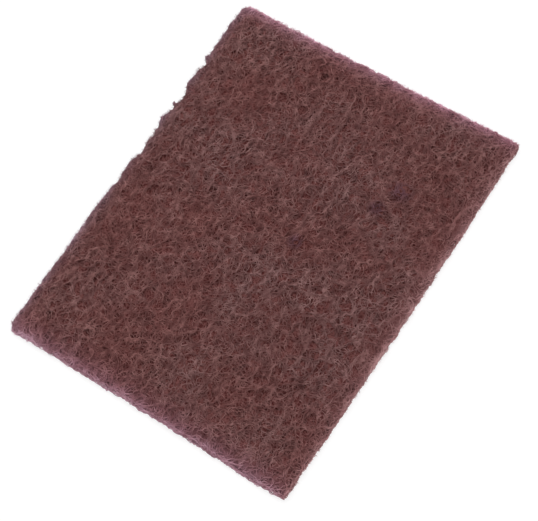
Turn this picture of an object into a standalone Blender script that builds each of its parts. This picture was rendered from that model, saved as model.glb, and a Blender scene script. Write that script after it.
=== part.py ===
# Abrasive hand pad, one piece: a felt-like web of crimped fibres, resin bonded and cut to a rectangle.
# It lies flat. The long side runs along Y, the underside is the plane Z = 0, and lengths are in metres.
import math

import bmesh
import bpy
from mathutils import Vector, noise

for old in list(bpy.data.objects):
    bpy.data.objects.remove(old, do_unlink=True)

# The sheet
PAD_LENGTH = 0.225
PAD_WIDTH = 0.158
PAD_LOFT = 0.0062

# The cut edges, which the blade pinches lower than the middle
EDGE_LOFT = 0.0025
END_CRUSH = 0.0100
SIDE_CRUSH = 0.0070
EDGE_ROUND = 0.0006
FOOT_INSET = 0.0004
LEFT_CORNER_ROUND = 0.0013
RIGHT_CORNER_ROUND = 0.0004

# How far the four cuts are from a true rectangle
NEAR_SLANT = 0.0030
FAR_SLANT = 0.0014
LEFT_SLANT = 0.0007
RIGHT_SLANT = 0.0003
RIGHT_BOW = 0.0011
END_HOLLOW = 0.0006
FRAY = 0.0005
FRAY_PITCH = 0.0050

# Bites and tufts in the left edge: place along Y, half width, and how far the edge stands out there
LEFT_BITES = (
    (-0.0380, 0.0160, 0.0005),
    (-0.0115, 0.0020, -0.0008),
    (0.0085, 0.0050, -0.0018),
    (0.0290, 0.0030, 0.0002),
    (0.0455, 0.0060, -0.0025),
    (0.0560, 0.0030, 0.0006),
    (0.0680, 0.0025, -0.0012),
    (0.0715, 0.0030, 0.0010),
    (0.1000, 0.0080, 0.0003),
)

# The open web of the upper face
GRID_PITCH = 0.0028
GRID_DRIFT = 0.0009
LUMP_PITCH = 0.0150
LUMP_HEIGHT = 0.0007
CURL_PITCH = 0.0062
CURL_HEIGHT = 0.0013
CURL_SWING = 0.60
PIT_PITCH = 0.0038
PIT_DEPTH = 0.0034


def web_height(x, y):
    """Height of the fibre web over its mean level: broad lumps, winding curls of fibre, and open pits."""
    place = Vector((x, y, 0.0))
    swing = CURL_SWING * noise.noise_vector(place / LUMP_PITCH)
    lump = noise.noise(place / LUMP_PITCH + Vector((3.1, 7.7, 1.3)))
    curl = 0.5 - 2.0 * abs(noise.noise(place / CURL_PITCH + swing + Vector((5.2, 1.9, 2.6))))
    pit = max(0.0, noise.noise(place / PIT_PITCH + Vector((8.4, 2.2, 4.9))) - 0.03)
    return LUMP_HEIGHT * lump + CURL_HEIGHT * curl - PIT_DEPTH * pit


def pinch(inward, reach):
    """Share of the full loft at a distance inward from a cut edge."""
    t = min(1.0, max(0.0, inward / reach))
    return t * t * (3.0 - 2.0 * t)


def left_stand_out(y):
    """How far the left edge stands out from its straight line, bites and tufts together."""
    out = LEFT_SLANT * y / (PAD_LENGTH / 2)
    for place, half, depth in LEFT_BITES:
        out += depth * math.exp(-(((y - place) / half) ** 2))
    return out


def fray(x, y, level):
    """Raggedness of the cut, different at each level of the wall."""
    return FRAY * noise.noise(Vector((x, y, level)) / FRAY_PITCH)


# Flat grid of the upper face, with one column or row for each pitch
columns = max(8, round(PAD_WIDTH / GRID_PITCH))
rows = max(8, round(PAD_LENGTH / GRID_PITCH))
bm = bmesh.new()
bmesh.ops.create_grid(bm, x_segments=columns, y_segments=rows, size=1.0)

# The grid is stretched to the cut outline, and its inner points drift so that no straight rows show
for vert in bm.verts:
    across = vert.co.x
    along = vert.co.y
    on_side = abs(across) > 0.9999
    on_end = abs(along) > 0.9999
    x = across * (PAD_WIDTH / 2 - EDGE_ROUND)
    y = along * (PAD_LENGTH / 2 - EDGE_ROUND)
    if not on_side and not on_end:
        drift = noise.noise_vector(Vector((x, y, 0.0)) / (GRID_PITCH * 0.8))
        x += GRID_DRIFT * drift.x
        y += GRID_DRIFT * drift.y
    left_share = (1.0 - across) / 2
    right_share = (1.0 + across) / 2
    near_share = (1.0 - along) / 2
    far_share = (1.0 + along) / 2
    x -= left_share * left_stand_out(y)
    x += right_share * (RIGHT_SLANT * along + RIGHT_BOW * (1.0 - along * along))
    y += far_share * (FAR_SLANT * across - END_HOLLOW * (1.0 - across * across))
    y -= near_share * (NEAR_SLANT * across - END_HOLLOW * (1.0 - across * across))
    if on_side and on_end:
        worn = RIGHT_CORNER_ROUND if across > 0.0 else LEFT_CORNER_ROUND
        x -= worn * across
        y -= worn * along
    side_way = (1.0 - abs(across)) * PAD_WIDTH / 2
    end_way = (1.0 - abs(along)) * PAD_LENGTH / 2
    share = pinch(side_way, SIDE_CRUSH) * pinch(end_way, END_CRUSH)
    z = EDGE_LOFT + (PAD_LOFT - EDGE_LOFT) * share
    z += web_height(x, y) * (0.35 + 0.65 * share)
    vert.co = (x, y, z)

# The wall below the upper face: a frayed belly ring, then the foot ring on the plane of the underside
outward = {}
for edge in bm.edges:
    if edge.is_boundary:
        a, b = edge.verts
        run = (b.co - a.co).xy
        side = Vector((run.y, -run.x)).normalized()
        if side.dot((a.co + b.co).xy) < 0.0:
            side.negate()
        for vert in edge.verts:
            outward[vert] = (outward.get(vert, Vector((0.0, 0.0))) + side).normalized()

rim = [edge for edge in bm.edges if edge.is_boundary]
ways = {(round(v.co.x, 7), round(v.co.y, 7)): way for v, way in outward.items()}
belly = bmesh.ops.extrude_edge_only(bm, edges=rim)["geom"]
belly_ways = {}
for vert in [item for item in belly if isinstance(item, bmesh.types.BMVert)]:
    way = ways[(round(vert.co.x, 7), round(vert.co.y, 7))]
    push = EDGE_ROUND + fray(vert.co.x, vert.co.y, 0.4)
    vert.co.x += way.x * push
    vert.co.y += way.y * push
    vert.co.z = EDGE_LOFT * 0.48
    belly_ways[(round(vert.co.x, 7), round(vert.co.y, 7))] = way

belly_edges = [item for item in belly if isinstance(item, bmesh.types.BMEdge)]
foot = bmesh.ops.extrude_edge_only(bm, edges=belly_edges)["geom"]
for vert in [item for item in foot if isinstance(item, bmesh.types.BMVert)]:
    way = belly_ways[(round(vert.co.x, 7), round(vert.co.y, 7))]
    vert.co.x -= way.x * FOOT_INSET
    vert.co.y -= way.y * FOOT_INSET
    vert.co.z = 0.0

foot_edges = [item for item in foot if isinstance(item, bmesh.types.BMEdge)]
bmesh.ops.contextual_create(bm, geom=foot_edges)
bmesh.ops.triangulate(bm, faces=bm.faces, quad_method="SHORT_EDGE", ngon_method="BEAUTY")
bmesh.ops.recalc_face_normals(bm, faces=bm.faces)

# The outline is irregular, so its bounding box is brought to the middle of the plane
xs = [vert.co.x for vert in bm.verts]
ys = [vert.co.y for vert in bm.verts]
middle = Vector(((min(xs) + max(xs)) / 2, (min(ys) + max(ys)) / 2, 0.0))
bmesh.ops.translate(bm, verts=bm.verts, vec=-middle)

web = bpy.data.meshes.new("abrasive_web")
bm.to_mesh(web)
bm.free()
web.shade_smooth()
web.set_sharp_from_angle(angle=math.radians(60))

fibre = bpy.data.materials.new("maroon_fibre_web")
fibre.use_nodes = True
shader = fibre.node_tree.nodes["Principled BSDF"]
shader.inputs["Base Color"].default_value = (0.125, 0.055, 0.052, 1.0)
shader.inputs["Roughness"].default_value = 0.95
shader.inputs["Specular IOR Level"].default_value = 0.2
web.materials.append(fibre)

pad = bpy.data.objects.new("abrasive_web", web)
bpy.context.scene.collection.objects.link(pad)
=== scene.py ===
import math
import random

import bmesh
import bpy
from mathutils import Matrix, Quaternion, Vector, noise
from mathutils.bvhtree import BVHTree


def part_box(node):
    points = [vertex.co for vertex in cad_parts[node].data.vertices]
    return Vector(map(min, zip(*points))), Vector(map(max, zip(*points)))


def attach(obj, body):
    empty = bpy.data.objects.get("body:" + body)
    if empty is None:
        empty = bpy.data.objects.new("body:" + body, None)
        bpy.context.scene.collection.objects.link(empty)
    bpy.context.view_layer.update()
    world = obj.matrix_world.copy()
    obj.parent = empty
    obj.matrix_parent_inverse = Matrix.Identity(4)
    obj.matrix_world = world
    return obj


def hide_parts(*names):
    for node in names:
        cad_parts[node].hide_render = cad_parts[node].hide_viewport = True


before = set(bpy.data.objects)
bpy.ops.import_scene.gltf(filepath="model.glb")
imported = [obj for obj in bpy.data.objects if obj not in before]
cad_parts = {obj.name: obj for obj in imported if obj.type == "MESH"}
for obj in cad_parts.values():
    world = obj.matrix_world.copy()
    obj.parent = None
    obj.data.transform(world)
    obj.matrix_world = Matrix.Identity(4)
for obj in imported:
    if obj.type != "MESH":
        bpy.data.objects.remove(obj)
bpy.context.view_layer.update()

# The web
# A felt of crimped nylon fibres, bonded where they cross by a maroon resin with very fine grain in it.
# It is laid down as a loose fleece, sprayed, cured and die cut, so it is one springy sheet with open pits.

pad_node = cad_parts["abrasive_web"]
pad_low, pad_high = (Vector(corner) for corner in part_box("abrasive_web"))

skin = bmesh.new()
skin.from_mesh(pad_node.data)
bmesh.ops.remove_doubles(skin, verts=skin.verts, dist=0.000002)
bmesh.ops.recalc_face_normals(skin, faces=skin.faces)

# The belly of the cut wall, about halfway up it, where fibre ends stand out
BELLY_LOW, BELLY_HIGH = 0.0004, 0.0016
SHORTEST_RIM = 0.0005
rim_edges = [
    (edge.verts[0].co.copy(), edge.verts[1].co.copy())
    for edge in skin.edges
    if BELLY_LOW < min(edge.verts[0].co.z, edge.verts[1].co.z)
    and max(edge.verts[0].co.z, edge.verts[1].co.z) < BELLY_HIGH
    and edge.calc_length() > SHORTEST_RIM
]

# Nicks and snags of the left cut that are finer than the skin: place along Y, half width, how far out
NICKS = (
    (-0.0272, 0.0015, 0.0004),
    (-0.0126, 0.0018, -0.0010),
    (-0.0081, 0.0015, 0.0004),
    (0.0037, 0.0012, 0.0005),
    (0.0070, 0.0015, -0.0005),
    (0.0193, 0.0026, -0.0012),
    (0.0257, 0.0021, -0.0014),
    (0.0306, 0.0016, 0.0006),
    (0.0376, 0.0022, -0.0010),
    (0.0412, 0.0012, 0.0008),
    (0.0513, 0.0014, -0.0007),
    (0.0586, 0.0025, -0.0006),
    (0.0637, 0.0015, 0.0004),
    (0.0700, 0.0021, -0.0019),
    (0.0762, 0.0020, -0.0008),
    (0.0935, 0.0055, 0.0004),
)
LEFT_BAND = 0.010
NICK_FADE = 0.004
left_band = [edge for edge in skin.edges if max(vert.co.x for vert in edge.verts) < pad_low.x + LEFT_BAND]
bmesh.ops.subdivide_edges(skin, edges=left_band, cuts=2)
bmesh.ops.triangulate(skin, faces=skin.faces)
for vert in skin.verts:
    near_cut = min(1.0, max(0.0, 2.0 - (vert.co.x - pad_low.x) / NICK_FADE))
    for place, half, out in NICKS:
        vert.co.x -= near_cut * out * math.exp(-(((vert.co.y - place) / half) ** 2))
envelope = BVHTree.FromBMesh(skin)

core_mesh = bpy.data.meshes.new("web_core")
skin.to_mesh(core_mesh)
skin.free()
core = bpy.data.objects.new("web_core", core_mesh)
bpy.context.scene.collection.objects.link(core)

CORE_PITCH = 0.0014
even = core.modifiers.new("even_faces", "REMESH")
even.mode = "VOXEL"
even.voxel_size = CORE_PITCH
core_mesh = bpy.data.meshes.new_from_object(core.evaluated_get(bpy.context.evaluated_depsgraph_get()))
core.modifiers.clear()
core.data = core_mesh

# The fibres run mostly along the sheet, leaning a little, and the last value picks where the pits fall
RUN_LEAN = 0.14
RUN_SHARE = 0.4
PATTERN_SHIFT = 0.004


def drawn_out(place):
    """A place shortened along the run of the fibres, so a pattern that is read there comes out longer."""
    return Vector((place.x + RUN_LEAN * place.y, RUN_SHARE * place.y, place.z + PATTERN_SHIFT))


# The solid mass of fibres starts a little under the outer skin, and pits run down into it
CORE_SINK = 0.00025
UPPER_SINK = 0.00030
COARSE_PITCH, COARSE_PIT = 0.0058, 0.0004
FINE_PITCH, FINE_PIT = 0.0022, 0.0022
CORE_FLOOR = 0.0004
web = bmesh.new()
web.from_mesh(core_mesh)
bmesh.ops.smooth_vert(web, verts=web.verts, factor=0.5, use_axis_x=True, use_axis_y=True, use_axis_z=True)
web.normal_update()
for vert in web.verts:
    coarse = noise.noise(drawn_out(vert.co) / COARSE_PITCH + Vector((4.0, 1.0, 2.0)))
    fine = noise.noise(drawn_out(vert.co) / FINE_PITCH + Vector((9.0, 3.0, 5.0)))
    upper = max(0.0, vert.normal.z)
    sink = CORE_SINK + upper * (UPPER_SINK + COARSE_PIT * max(0.0, coarse) + FINE_PIT * max(0.0, fine))
    vert.co -= vert.normal * sink
    vert.co.z = max(vert.co.z, CORE_FLOOR)
web.to_mesh(core_mesh)
web.free()
core_mesh.shade_smooth()


def mixed(nodes, links, share, first, second):
    """A colour between two, each a colour or the output of another node."""
    mix = nodes.new("ShaderNodeMix")
    mix.data_type = "RGBA"
    links.new(share, mix.inputs["Factor"])
    for name, colour in (("A", first), ("B", second)):
        if isinstance(colour, tuple):
            mix.inputs[name].default_value = (*colour, 1.0)
        else:
            links.new(colour, mix.inputs[name])
    return mix.outputs["Result"]


def ranged(nodes, links, value, low, high, first=0.0, last=1.0):
    """A value that goes from first to last as another goes from low to high, and stops there."""
    spread = nodes.new("ShaderNodeMapRange")
    spread.inputs["From Min"].default_value = low
    spread.inputs["From Max"].default_value = high
    spread.inputs["To Min"].default_value = first
    spread.inputs["To Max"].default_value = last
    links.new(value, spread.inputs["Value"])
    return spread.outputs["Result"]


# The four cuts, by the way each faces: how far in its crushing shows, how strongly, and the tone it leaves.
# That tone is partly the crushed edge's own paler colour and partly painted light, a glow as of light
# coming through the thin edge
FAR_WAY = Vector((-0.0177, 1.0, 0.0))
NEAR_WAY = Vector((-0.0380, -1.0, 0.0))
RIGHT_WAY = Vector((1.0, -0.0027, 0.0))
LEFT_WAY = Vector((-1.0, -0.0062, 0.0))
CUTS = (
    (FAR_WAY, 0.0055, 0.45, (0.46, 0.140, 0.164)),
    (FAR_WAY, 0.0029, 1.0, (0.80, 0.435, 0.550)),
    (NEAR_WAY, 0.0050, 0.62, (0.46, 0.140, 0.170)),
    (NEAR_WAY, 0.0028, 1.0, (0.64, 0.365, 0.450)),
    (RIGHT_WAY, 0.0055, 0.45, (0.36, 0.110, 0.113)),
    (RIGHT_WAY, 0.0018, 1.0, (0.62, 0.345, 0.350)),
    (LEFT_WAY, 0.0020, 0.7, (0.46, 0.290, 0.370)),
)
RIM_INSET = 0.0008


def crushed_rim_and_painted_glow(nodes, links, place, tone, light):
    """A tone that goes over to the paler one of each cut edge, most of all at the cut, and in patches:
    partly the crushed edge's colour, partly a painted glow of light through the thin edge.
    """
    uneven = nodes.new("ShaderNodeTexNoise")
    uneven.inputs["Scale"].default_value = 220.0
    links.new(place, uneven.inputs["Vector"])
    for way, fade, share, pale in CUTS:
        way = way.normalized()
        reach = max(way.dot(vert.co) for vert in pad_node.data.vertices) - RIM_INSET
        ahead = nodes.new("ShaderNodeVectorMath")
        ahead.operation = "DOT_PRODUCT"
        ahead.inputs[1].default_value = way
        links.new(place, ahead.inputs[0])
        inward = nodes.new("ShaderNodeMath")
        inward.operation = "SUBTRACT"
        inward.inputs[1].default_value = reach
        links.new(ahead.outputs["Value"], inward.inputs[0])
        scaled = nodes.new("ShaderNodeMath")
        scaled.operation = "DIVIDE"
        scaled.inputs[1].default_value = fade
        links.new(inward.outputs[0], scaled.inputs[0])
        falling = nodes.new("ShaderNodeMath")
        falling.operation = "EXPONENT"
        falling.use_clamp = True
        links.new(scaled.outputs[0], falling.inputs[0])
        held = nodes.new("ShaderNodeMath")
        held.operation = "MULTIPLY"
        links.new(falling.outputs[0], held.inputs[0])
        patches = ranged(nodes, links, uneven.outputs["Fac"], 0.35, 0.65, 0.68 * share, 1.12 * share)
        links.new(patches, held.inputs[1])
        tone = mixed(nodes, links, held.outputs[0], tone, tuple(light * part for part in pale))
    return tone


# Deep in the web only crossing fibres catch light. The core's colour paints this as light and shade: a fine
# net of lighter threads over pits painted dark
deep = bpy.data.materials.new("web_core_painted_shade")
deep.use_nodes = True
nodes, links = deep.node_tree.nodes, deep.node_tree.links
shader = nodes["Principled BSDF"]
shader.inputs["Roughness"].default_value = 0.9
shader.inputs["Specular IOR Level"].default_value = 0.2
place = nodes.new("ShaderNodeTexCoord").outputs["Object"]
bend = nodes.new("ShaderNodeTexNoise")
bend.inputs["Scale"].default_value = 700.0
bend.inputs["Detail"].default_value = 2.0
links.new(place, bend.inputs["Vector"])
bent = nodes.new("ShaderNodeMix")
bent.data_type = "VECTOR"
bent.inputs["Factor"].default_value = 0.0022
links.new(place, bent.inputs["A"])
links.new(bend.outputs["Color"], bent.inputs["B"])
net = nodes.new("ShaderNodeTexVoronoi")
net.feature = "DISTANCE_TO_EDGE"
net.inputs["Scale"].default_value = 620.0
links.new(bent.outputs["Result"], net.inputs["Vector"])
threads = ranged(nodes, links, net.outputs["Distance"], 0.24, 0.02)
# Painted shade in the dark, redder pit colour, and painted light in the lighter, greyer thread colour
tone = mixed(nodes, links, threads, (0.080, 0.0165, 0.0155), (0.205, 0.075, 0.070))
tone = crushed_rim_and_painted_glow(nodes, links, place, tone, light=0.6)
links.new(tone, shader.inputs["Base Color"])
raised = nodes.new("ShaderNodeBump")
raised.inputs["Strength"].default_value = 0.7
raised.inputs["Distance"].default_value = 0.0005
links.new(threads, raised.inputs["Height"])
links.new(raised.outputs["Normal"], shader.inputs["Normal"])

core_mesh.materials.clear()
core_mesh.materials.append(deep)
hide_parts("abrasive_web")
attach(core, "root")

# Fibres of the upper face
# Crimped nylon staple, each fibre winding over and under its neighbours in the top millimetre of the web.
# They are drawn out slightly more along the long side, the way the fleece ran through the machine.

FIBRE_RADIUS = 0.00020
section = bpy.data.curves.new("fibre_section", "CURVE")
section.dimensions = "2D"
three_sides = section.splines.new("POLY")
three_sides.points.add(2)
for corner in range(3):
    turn = math.radians(120 * corner)
    three_sides.points[corner].co = (FIBRE_RADIUS * math.cos(turn), FIBRE_RADIUS * math.sin(turn), 0.0, 1.0)
three_sides.use_cyclic_u = True
section_object = bpy.data.objects.new("fibre_section", section)

# No fibre goes below the plane that the pad lies on
LOWEST = FIBRE_RADIUS + 0.0001
FIBRE_STEPS = 11
FIBRE_STRIDE = 0.00135

# The crimp: bends for each metre, and the lengths over which a fibre winds sideways and dips
BEND = (150, 600)
WIND = (0.0030, 0.0075)
DRIFT = (-90, 90)
DIP = (0.003, 0.007)
SWELL_PITCH = 0.0032

# Fibres feel to both sides for a clump, and turn towards it
CLUMP = 0.0025
FEEL = 0.0008
GATHER = 900.0

# A fibre is thinner at its two ends
TAPER = 0.4


def crimped_fibre(start, heading, draw, shallow, deep, swell=0.0):
    """Points of one fibre that winds along the skin of the web, dipping between two depths under it."""
    place, normal = envelope.find_nearest(start)[:2]
    bend = draw.uniform(*BEND)
    wave = draw.uniform(*WIND)
    phase = draw.uniform(0, math.tau)
    drift = draw.uniform(*DRIFT)
    dip_wave = draw.uniform(*DIP)
    dip_phase = draw.uniform(0, math.tau)
    points = []
    for step in range(FIBRE_STEPS + 1):
        along = step * FIBRE_STRIDE
        dip = 0.5 + 0.5 * math.sin(math.tau * along / dip_wave + dip_phase)
        end = abs(2 * step / FIBRE_STEPS - 1) ** 6
        depth = shallow + (deep - shallow) * max(dip, end) - swell * noise.noise(place / SWELL_PITCH)
        point = place - normal * depth
        point.z = max(point.z, LOWEST)
        points.append(point)
        left = normal.cross(heading) * FEEL
        lean = noise.noise(drawn_out(place + left) / CLUMP) - noise.noise(drawn_out(place - left) / CLUMP)
        turn = (bend * math.sin(math.tau * along / wave + phase) + drift + GATHER * lean) * FIBRE_STRIDE
        heading = Quaternion(normal, turn) @ heading
        place, normal = envelope.find_nearest(place + heading * FIBRE_STRIDE)[:2]
        heading = (heading - normal * heading.dot(normal)).normalized()
    return points


def spun_fibres(name, paths, finish, thickness=1.0):
    """One piece from many fibres, each a thin closed tube that tapers into the web at both ends."""
    strands = bpy.data.curves.new(name, "CURVE")
    strands.dimensions = "3D"
    strands.twist_mode = "MINIMUM"
    strands.bevel_mode = "OBJECT"
    strands.bevel_object = section_object
    strands.use_fill_caps = True
    for path in paths:
        strand = strands.splines.new("POLY")
        strand.points.add(len(path) - 1)
        strand.points.foreach_set("co", [value for point in path for value in (*point, 1.0)])
        tip = [TAPER * thickness]
        strand.points.foreach_set("radius", tip + [thickness] * (len(path) - 2) + tip)
    holder = bpy.data.objects.new(name, strands)
    bpy.context.scene.collection.objects.link(holder)
    mesh = bpy.data.meshes.new_from_object(holder.evaluated_get(bpy.context.evaluated_depsgraph_get()))
    bpy.data.objects.remove(holder)
    mesh.name = name
    mesh.shade_smooth()
    mesh.materials.clear()
    mesh.materials.append(finish)
    piece = bpy.data.objects.new(name, mesh)
    bpy.context.scene.collection.objects.link(piece)
    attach(piece, "root")
    return piece


# Three spots are a little darker and bluer, as where resin gathered before it was cured
STAINS = (
    ((0.0137, 0.0042, 0.0055), 0.0035),
    ((0.0431, 0.0560, 0.0055), 0.0050),
    ((0.0377, 0.0417, 0.0055), 0.0036),
)
STAIN_TONE = (0.150, 0.056, 0.073)
GRAIN_SHARE = 0.45

# Each fibre has its own tone, and the sheet is a little redder or greyer from place to place
fibre_finish = bpy.data.materials.new("coated_fibre")
fibre_finish.use_nodes = True
nodes, links = fibre_finish.node_tree.nodes, fibre_finish.node_tree.links
shader = nodes["Principled BSDF"]
shader.inputs["Roughness"].default_value = 0.8
shader.inputs["Specular IOR Level"].default_value = 0.3
place = nodes.new("ShaderNodeTexCoord").outputs["Object"]
own_tone = nodes.new("ShaderNodeNewGeometry").outputs["Random Per Island"]
patch = nodes.new("ShaderNodeTexNoise")
patch.inputs["Scale"].default_value = 22.0
patch.inputs["Detail"].default_value = 2.0
links.new(place, patch.inputs["Vector"])
patches = ranged(nodes, links, patch.outputs["Fac"], 0.35, 0.65)
tone = mixed(nodes, links, patches, (0.255, 0.0985, 0.0915), (0.263, 0.1235, 0.1185))
for middle, radius in STAINS:
    away = nodes.new("ShaderNodeVectorMath")
    away.operation = "DISTANCE"
    away.inputs[1].default_value = middle
    links.new(place, away.inputs[0])
    share = ranged(nodes, links, away.outputs["Value"], 1.5 * radius, 0.5 * radius, 0.0, 0.9)
    tone = mixed(nodes, links, share, tone, STAIN_TONE)
run = nodes.new("ShaderNodeMapping")
run.inputs["Rotation"].default_value = (0.0, 0.0, -RUN_LEAN)
run.inputs["Scale"].default_value = (1.0, GRAIN_SHARE, 1.0)
links.new(place, run.inputs["Vector"])


def grit(nodes, links, scale):
    """From nothing to one, how thickly the grain lies, in grains that are drawn out along the fibres."""
    grains = nodes.new("ShaderNodeTexNoise")
    grains.inputs["Scale"].default_value = scale
    grains.inputs["Detail"].default_value = 1.0
    links.new(run.outputs["Vector"], grains.inputs["Vector"])
    return ranged(nodes, links, grains.outputs["Fac"], 0.35, 0.65)


def coated(nodes, links, tone, share, dark, light):
    """A tone times another, which goes from dark to light with the share."""
    product = nodes.new("ShaderNodeVectorMath")
    product.operation = "MULTIPLY"
    links.new(tone, product.inputs[0])
    links.new(mixed(nodes, links, share, dark, light), product.inputs[1])
    return product.outputs["Vector"]


tone = coated(nodes, links, tone, grit(nodes, links, 520.0), (0.74, 0.66, 0.66), (1.26, 1.37, 1.37))
# Painted glow at each cut edge, over the crushed edge's paler colour
tone = crushed_rim_and_painted_glow(nodes, links, place, tone, light=1.0)
tone = coated(nodes, links, tone, grit(nodes, links, 170.0), (0.89, 0.84, 0.84), (1.11, 1.17, 1.17))
tone = coated(nodes, links, tone, own_tone, (0.85, 0.79, 0.79), (1.15, 1.21, 1.21))
links.new(tone, shader.inputs["Base Color"])

draw = random.Random(31)
FACE_LAYERS = 4
FIBRES_ACROSS, FIBRES_ALONG = 42, 60
RUN_ANGLE, RUN_SPREAD = 1.70, 0.40
FACE_SWELL = 0.0004
for layer in range(FACE_LAYERS):
    paths = []
    for count in range(FIBRES_ACROSS * FIBRES_ALONG):
        start = Vector((
            pad_low.x + (count % FIBRES_ACROSS + draw.random()) * (pad_high.x - pad_low.x) / FIBRES_ACROSS,
            pad_low.y + (count // FIBRES_ACROSS + draw.random()) * (pad_high.y - pad_low.y) / FIBRES_ALONG,
            pad_high.z,
        ))
        angle = draw.gauss(RUN_ANGLE, RUN_SPREAD)
        heading = Vector((math.cos(angle), math.sin(angle), 0.0))
        shallow = draw.uniform(-0.0001, 0.0004)
        deepest = shallow + draw.uniform(0.0004, 0.0010)
        paths.append(crimped_fibre(start, heading, draw, shallow, deepest, FACE_SWELL))
    spun_fibres("face_fibres_%d" % (layer + 1), paths, fibre_finish)

# Fibres of the cut edges and the underside
# The blade squeezes the web as it parts it, so the edges are a tight roll of bent-over fibre ends.
# Below, the same fibres lie flatter, pressed by the sheet's own weight.

EDGE_FIBRES = 1700
EDGE_DIP = 0.0009
EDGE_SWELL = 0.0006
END_REACH, SIDE_REACH = 0.0008, 0.0003
paths = []
for count in range(EDGE_FIBRES):
    first, second = draw.choice(rim_edges)
    start = first.lerp(second, draw.random())
    along = (second - first).normalized()
    heading = (along * draw.choice((-1, 1)) + Vector((0.0, 0.0, draw.uniform(-0.5, 0.5)))).normalized()
    reach_out = END_REACH if abs(along.x) > abs(along.y) else SIDE_REACH
    shallow = draw.uniform(-reach_out, 0.0001)
    paths.append(crimped_fibre(start, heading, draw, shallow, shallow + EDGE_DIP, EDGE_SWELL))

UNDER_FIBRES = 750
UNDER_SPREAD = 0.95
UNDER_DIP = 0.0004
for count in range(UNDER_FIBRES):
    start = Vector((draw.uniform(pad_low.x, pad_high.x), draw.uniform(pad_low.y, pad_high.y), -0.001))
    angle = draw.gauss(math.pi / 2, UNDER_SPREAD)
    heading = Vector((math.cos(angle), math.sin(angle), 0.0))
    shallow = draw.uniform(0.0001, 0.0004)
    paths.append(crimped_fibre(start, heading, draw, shallow, shallow + UNDER_DIP))
spun_fibres("edge_fibres", paths, fibre_finish)

# A free end starts at its root, a millimetre inside the web
ROOT = 0.0010
FREE_STEPS = 3


def free_end(start, heading, draw, length):
    """Points of a fibre end that stands free of the web, curling as it goes."""
    axis = Vector((draw.gauss(0, 1), draw.gauss(0, 1), draw.gauss(0, 1))).normalized()
    curl = draw.uniform(0.1, 0.7)
    place = start - heading * ROOT
    place.z = max(place.z, LOWEST)
    points = [place]
    for step in range(FREE_STEPS):
        place = place + heading * ((ROOT + length) / FREE_STEPS)
        place.z = max(place.z, LOWEST)
        points.append(place)
        heading = Quaternion(axis, curl) @ heading
    return points


# Cut ends stand out as a fine fuzz, and two small tufts were pulled loose on the left edge
CUT_ENDS = 2500
CUT_HEIGHT = 0.0020
paths = []
for count in range(CUT_ENDS):
    first, second = draw.choice(rim_edges)
    start = first.lerp(second, draw.random()) + Vector((0.0, 0.0, draw.uniform(0.0, CUT_HEIGHT)))
    start, normal = envelope.find_nearest(start)[:2]
    lean = Vector((draw.uniform(-0.8, 0.8), draw.uniform(-0.8, 0.8), draw.uniform(-0.3, 0.5)))
    paths.append(free_end(start, (normal + lean).normalized(), draw, draw.uniform(0.0004, 0.0016)))
spun_fibres("cut_ends", paths, fibre_finish, thickness=0.5)

TUFTS = (
    (Vector((-0.0790, 0.0736, 0.003)), 40),
    (Vector((-0.0797, 0.0412, 0.003)), 30),
)
TUFT_SPREAD = 0.0006
paths = []
for middle, count in TUFTS:
    for fibre in range(count):
        start = middle + Vector((0.0, draw.gauss(0, TUFT_SPREAD), draw.uniform(-0.0015, 0.0010)))
        heading = Vector((-1.0, draw.uniform(-0.5, 0.5), draw.uniform(-0.3, 0.4))).normalized()
        paths.append(free_end(envelope.find_nearest(start)[0], heading, draw, draw.uniform(0.0005, 0.0016)))
spun_fibres("loose_tufts", paths, fibre_finish, thickness=0.9)

# Studio
# A white sweep that keeps a faint shadow, one broad soft lamp above and beyond the far left corner,
# and even light from all round.


def seen_directly(nodes, links):
    """One for a ray of the camera, a mirror or glass, and nothing for one that only brings light."""
    path = nodes.new("ShaderNodeLightPath")
    either = path.outputs["Is Camera Ray"]
    for kind in ("Is Glossy Ray", "Is Transmission Ray"):
        added = nodes.new("ShaderNodeMath")
        added.operation = "ADD"
        added.use_clamp = True
        links.new(either, added.inputs[0])
        links.new(path.outputs[kind], added.inputs[1])
        either = added.outputs[0]
    return either


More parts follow.
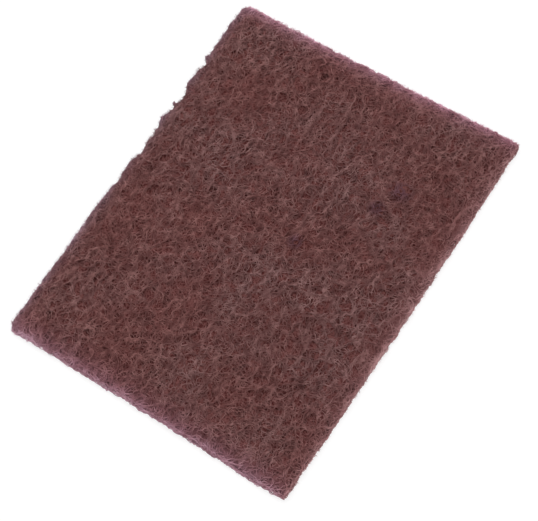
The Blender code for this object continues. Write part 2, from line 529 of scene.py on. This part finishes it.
floor_mesh = bpy.data.meshes.new("floor")
sweep = bmesh.new()
bmesh.ops.create_grid(sweep, x_segments=1, y_segments=1, size=4.0)
sweep.to_mesh(floor_mesh)
sweep.free()
floor = bpy.data.objects.new("floor", floor_mesh)
bpy.context.scene.collection.objects.link(floor)
paper = bpy.data.materials.new("white_sweep")
paper.use_nodes = True
nodes, links = paper.node_tree.nodes, paper.node_tree.links
nodes.remove(nodes["Principled BSDF"])
matt = nodes.new("ShaderNodeBsdfDiffuse")
matt.inputs["Color"].default_value = (0.8, 0.8, 0.8, 1.0)
faint = nodes.new("ShaderNodeBsdfDiffuse")
faint.inputs["Color"].default_value = (0.3, 0.3, 0.3, 1.0)
glow = nodes.new("ShaderNodeEmission")
glow.inputs["Strength"].default_value = 0.76
seen = nodes.new("ShaderNodeAddShader")
links.new(faint.outputs[0], seen.inputs[0])
links.new(glow.outputs[0], seen.inputs[1])
pick = nodes.new("ShaderNodeMixShader")
links.new(seen_directly(nodes, links), pick.inputs[0])
links.new(matt.outputs[0], pick.inputs[1])
links.new(seen.outputs[0], pick.inputs[2])
links.new(pick.outputs[0], nodes["Material Output"].inputs["Surface"])
floor_mesh.materials.append(paper)

lamp = bpy.data.lights.new("soft_box", "AREA")
lamp.shape = "DISK"
lamp.size = 0.9
lamp.energy = 7.0
lamp_object = bpy.data.objects.new("soft_box", lamp)
from_lamp = Vector((-0.9, 0.7, 1.3))
faced = from_lamp.to_track_quat("Z", "Y").to_matrix().to_4x4()
lamp_object.matrix_world = Matrix.Translation(from_lamp) @ faced
bpy.context.scene.collection.objects.link(lamp_object)

room = bpy.data.worlds.new("studio")
room.use_nodes = True
nodes, links = room.node_tree.nodes, room.node_tree.links
level = nodes.new("ShaderNodeMapRange")
level.inputs["To Min"].default_value = 0.77
level.inputs["To Max"].default_value = 1.0
links.new(seen_directly(nodes, links), level.inputs["Value"])
nodes["Background"].inputs["Color"].default_value = (1.0, 1.0, 1.0, 1.0)
links.new(level.outputs["Result"], nodes["Background"].inputs["Strength"])
bpy.context.scene.world = room

# The camera looks down on the pad from beyond its near end, a little to the right
lens = bpy.data.cameras.new("camera")
lens.sensor_width = 36.0
lens.lens = 182.97
lens.clip_end = 20.0
camera = bpy.data.objects.new("camera", lens)
azimuth, elevation, roll = math.radians(25.38), math.radians(60.88), math.radians(6.50)
aim = Vector((0.00703, -0.00903, 0.0))
CAMERA_AWAY = 1.3281
turned = Matrix.Rotation(azimuth, 4, "Z") @ Matrix.Rotation(math.pi / 2 - elevation, 4, "X")
turned = turned @ Matrix.Rotation(roll, 4, "Z")
camera.matrix_world = Matrix.Translation(aim + CAMERA_AWAY * (turned @ Vector((0, 0, 1)))) @ turned
bpy.context.scene.collection.objects.link(camera)
bpy.context.scene.camera = camera
bpy.context.scene.view_settings.view_transform = "Standard"
